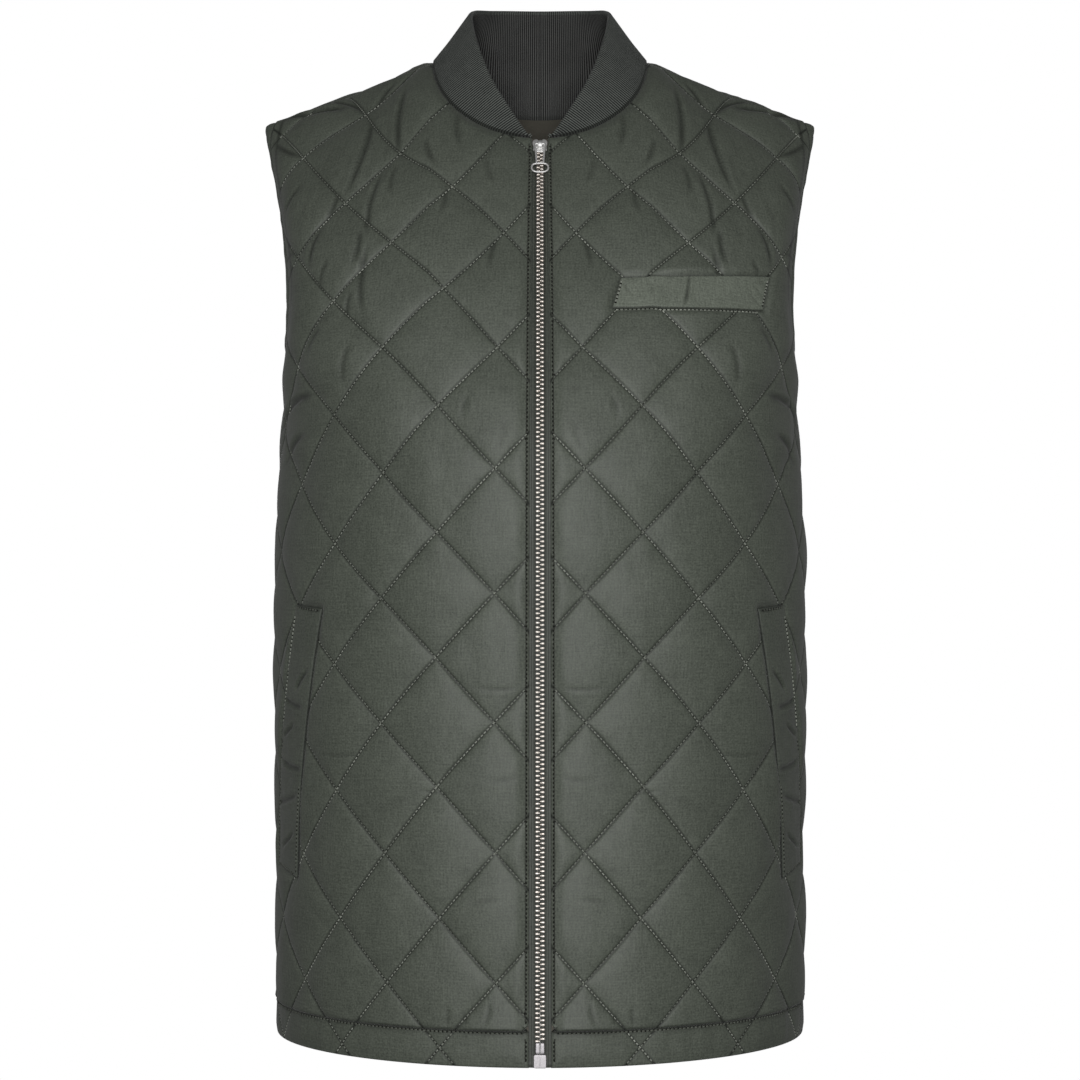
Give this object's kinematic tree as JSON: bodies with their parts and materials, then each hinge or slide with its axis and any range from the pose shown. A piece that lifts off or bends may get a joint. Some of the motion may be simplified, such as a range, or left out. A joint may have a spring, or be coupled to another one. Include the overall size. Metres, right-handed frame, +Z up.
{
  "type": "quilted gilet",
  "caption": "Sleeveless diamond-quilted gilet, filled out as when worn, with a rib-knit stand collar, a metal front zip with a hinged wire pull and welt pockets.",
  "frame": {"origin": "on the neck's centre line, level with the high points of the shoulders", "axes": "+Z up the garment, -Y towards its front, +X towards the wearer's left"},
  "size_m": [0.397, 0.2687, 0.7432],
  "materials": {
    "shell_cloth": "padded woven cloth with a slight sheen",
    "rib_knit": "rib knit",
    "zip_tape": "woven tape",
    "brass_teeth": "pale polished",
    "nickel": "polished"
  },
  "bodies": {
    "garment": {"front_right": "shell_cloth", "front_left": "shell_cloth", "back": "shell_cloth", "chest_pocket_welt": "shell_cloth", "side_pocket_welt_right": "shell_cloth", "side_pocket_welt_left": "shell_cloth", "armhole_binding_right": "shell_cloth", "armhole_binding_left": "shell_cloth", "collar": "rib_knit", "zip_tape_right": "zip_tape", "zip_tape_left": "zip_tape", "zip_chain": "brass_teeth", "zip_slider": "nickel", "zip_box": "nickel", "zip_pin_right": "nickel", "zip_pin_left": "nickel"},
    "pull": {"zip_pull": "nickel"}
  },
  "joints": [
    {"name": "pull_hinge", "type": "hinge", "parent": "garment", "child": "pull", "pos_m": [0, -0.06811, -0.06638], "axis": [-1, 0, 0], "range_deg": [0, 150]}
  ]
}
